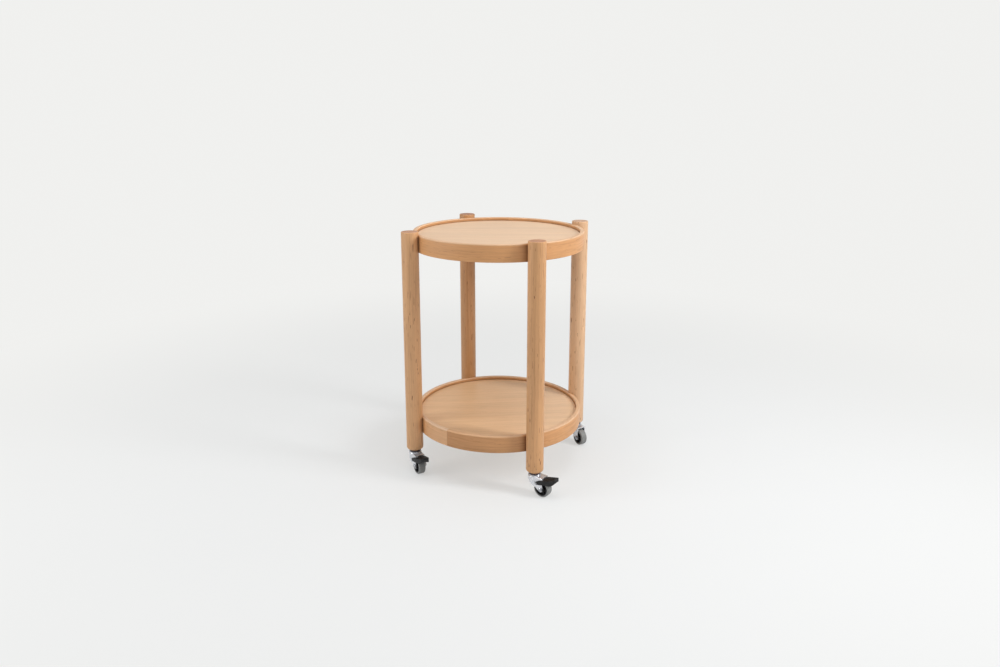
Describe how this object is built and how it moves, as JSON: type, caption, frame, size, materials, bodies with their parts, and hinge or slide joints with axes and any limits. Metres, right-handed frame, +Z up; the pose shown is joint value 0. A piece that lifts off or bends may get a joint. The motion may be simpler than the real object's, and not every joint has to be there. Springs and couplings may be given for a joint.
{
  "type": "room service table",
  "caption": "Round two-tier timber service table with raised tray rims, notched round posts and four swivel castors, three of them braked.",
  "frame": {"origin": "on the floor, on the axis of the two round trays", "axes": "+Z up, +X to the table's right, -Y its front; the posts stand at 45 degrees to X and Y"},
  "size_m": [0.4304, 0.406, 0.5868],
  "materials": {
    "post_wood": "satin lacquer",
    "rim_wood": "satin lacquer",
    "panel_wood": "satin lacquer",
    "block_wood": "sawn",
    "zinc_steel": "zinc plated",
    "chrome": "polished",
    "spring_steel": "plain",
    "black_plastic": "fine moulded texture",
    "bearing_plastic": "smooth",
    "grey_tread": "smooth grey tread"
  },
  "bodies": {
    "table": {"front_right_post": "post_wood", "back_right_post": "post_wood", "back_left_post": "post_wood", "front_left_post": "post_wood", "lower_rim": "rim_wood", "lower_panel": "panel_wood", "lower_blocks": "block_wood", "upper_rim": "rim_wood", "upper_panel": "panel_wood", "upper_blocks": "block_wood", "rim_keys": "block_wood", "tray_bolts": "zinc_steel", "tray_washers": "zinc_steel", "tray_inserts": "zinc_steel", "block_screws": "zinc_steel", "castor_sockets": "zinc_steel", "castor_stems": "zinc_steel", "castor_races": "chrome", "castor_rings": "bearing_plastic", "castor_washers": "zinc_steel"},
    "front_right_castor": {"front_right_fork": "chrome", "front_right_axle": "zinc_steel", "front_right_axle_nut": "zinc_steel", "front_right_pedal_pin": "zinc_steel"},
    "front_right_wheel": {"front_right_wheel_bush": "zinc_steel", "front_right_wheel_core": "black_plastic", "front_right_wheel_tyre": "grey_tread"},
    "front_right_brake": {"front_right_brake_pedal": "black_plastic", "front_right_brake_leaf": "spring_steel"},
    "back_right_castor": {"back_right_fork": "chrome", "back_right_axle": "zinc_steel", "back_right_axle_nut": "zinc_steel"},
    "back_right_wheel": {"back_right_wheel_bush": "zinc_steel", "back_right_wheel_core": "black_plastic", "back_right_wheel_tyre": "grey_tread"},
    "back_left_castor": {"back_left_fork": "chrome", "back_left_axle": "zinc_steel", "back_left_axle_nut": "zinc_steel", "back_left_pedal_pin": "zinc_steel"},
    "back_left_wheel": {"back_left_wheel_bush": "zinc_steel", "back_left_wheel_core": "black_plastic", "back_left_wheel_tyre": "grey_tread"},
    "back_left_brake": {"back_left_brake_pedal": "black_plastic", "back_left_brake_leaf": "spring_steel"},
    "front_left_castor": {"front_left_fork": "chrome", "front_left_axle": "zinc_steel", "front_left_axle_nut": "zinc_steel", "front_left_pedal_pin": "zinc_steel"},
    "front_left_wheel": {"front_left_wheel_bush": "zinc_steel", "front_left_wheel_core": "black_plastic", "front_left_wheel_tyre": "grey_tread"},
    "front_left_brake": {"front_left_brake_pedal": "black_plastic", "front_left_brake_leaf": "spring_steel"}
  },
  "joints": [
    {"name": "front_right_swivel", "type": "hinge", "parent": "table", "child": "front_right_castor", "pos_m": [0.1545, -0.1545, 0.0509], "axis": [0, 0, 1], "continuous": true},
    {"name": "front_right_roll", "type": "hinge", "parent": "front_right_castor", "child": "front_right_wheel", "pos_m": [0.17682, -0.16007, 0.02], "axis": [0.2419, 0.9703, 0], "continuous": true},
    {"name": "front_right_brake_tip", "type": "hinge", "parent": "front_right_castor", "child": "front_right_brake", "pos_m": [0.16688, -0.15759, 0.0336], "axis": [0.2419, 0.9703, 0], "range_deg": [0, 9]},
    {"name": "back_right_swivel", "type": "hinge", "parent": "table", "child": "back_right_castor", "pos_m": [0.1545, 0.1545, 0.0509], "axis": [0, 0, 1], "continuous": true},
    {"name": "back_right_roll", "type": "hinge", "parent": "back_right_castor", "child": "back_right_wheel", "pos_m": [0.17263, 0.14034, 0.02], "axis": [0.6157, 0.788, 0], "continuous": true},
    {"name": "back_left_swivel", "type": "hinge", "parent": "table", "child": "back_left_castor", "pos_m": [-0.1545, 0.1545, 0.0509], "axis": [0, 0, 1], "continuous": true},
    {"name": "back_left_roll", "type": "hinge", "parent": "back_left_castor", "child": "back_left_wheel", "pos_m": [-0.17682, 0.16007, 0.02], "axis": [-0.2419, -0.9703, 0], "continuous": true},
    {"name": "back_left_brake_tip", "type": "hinge", "parent": "back_left_castor", "child": "back_left_brake", "pos_m": [-0.16688, 0.15759, 0.0336], "axis": [-0.2419, -0.9703, 0], "range_deg": [0, 9]},
    {"name": "front_left_swivel", "type": "hinge", "parent": "table", "child": "front_left_castor", "pos_m": [-0.1545, -0.1545, 0.0509], "axis": [0, 0, 1], "continuous": true},
    {"name": "front_left_roll", "type": "hinge", "parent": "front_left_castor", "child": "front_left_wheel", "pos_m": [-0.13638, -0.16866, 0.02], "axis": [0.6157, 0.788, 0], "continuous": true},
    {"name": "front_left_brake_tip", "type": "hinge", "parent": "front_left_castor", "child": "front_left_brake", "pos_m": [-0.14445, -0.16236, 0.0336], "axis": [0.6157, 0.788, 0], "range_deg": [0, 9]}
  ]
}
